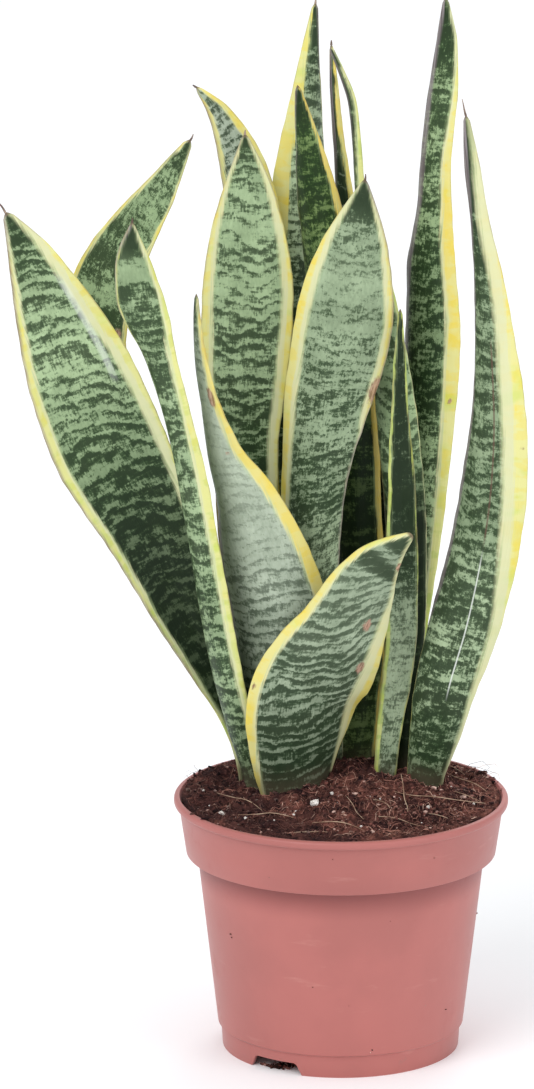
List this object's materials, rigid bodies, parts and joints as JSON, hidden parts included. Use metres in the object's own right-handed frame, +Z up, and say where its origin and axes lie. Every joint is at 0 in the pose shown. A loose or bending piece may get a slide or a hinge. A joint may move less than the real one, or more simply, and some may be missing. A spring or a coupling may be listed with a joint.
{
  "type": "potted snake plant",
  "caption": "Snake plant with upright sword-shaped leaves, banded green with yellow margins, in a round tapered plastic nursery pot.",
  "frame": {"origin": "middle of the whole plant's box, on the plane that the pot's foot ring stands on", "axes": "+Z up along the pot's axis, -Y towards the front of the plant as seen in the reference view, +X to its right"},
  "size_m": [0.216, 0.1468, 0.4385],
  "materials": {
    "pot_plastic": "satin",
    "peat": "matte",
    "rootstock": "matte",
    "leaf": "satin"
  },
  "bodies": {
    "root": {"pot": "pot_plastic", "soil": "peat", "rhizome": "rootstock", "leaf_front_short": "leaf", "leaf_front_twisted": "leaf", "leaf_left_narrow": "leaf", "leaf_left_broad": "leaf", "leaf_left_hooked": "leaf", "leaf_centre_upright": "leaf", "leaf_centre_broad": "leaf", "leaf_centre_shaded": "leaf", "leaf_back_left": "leaf", "leaf_back_tall": "leaf", "leaf_back_thin": "leaf", "leaf_back_curved": "leaf", "leaf_right_slender": "leaf", "leaf_right_tall": "leaf", "leaf_right_bowed": "leaf"}
  },
  "joints": []
}
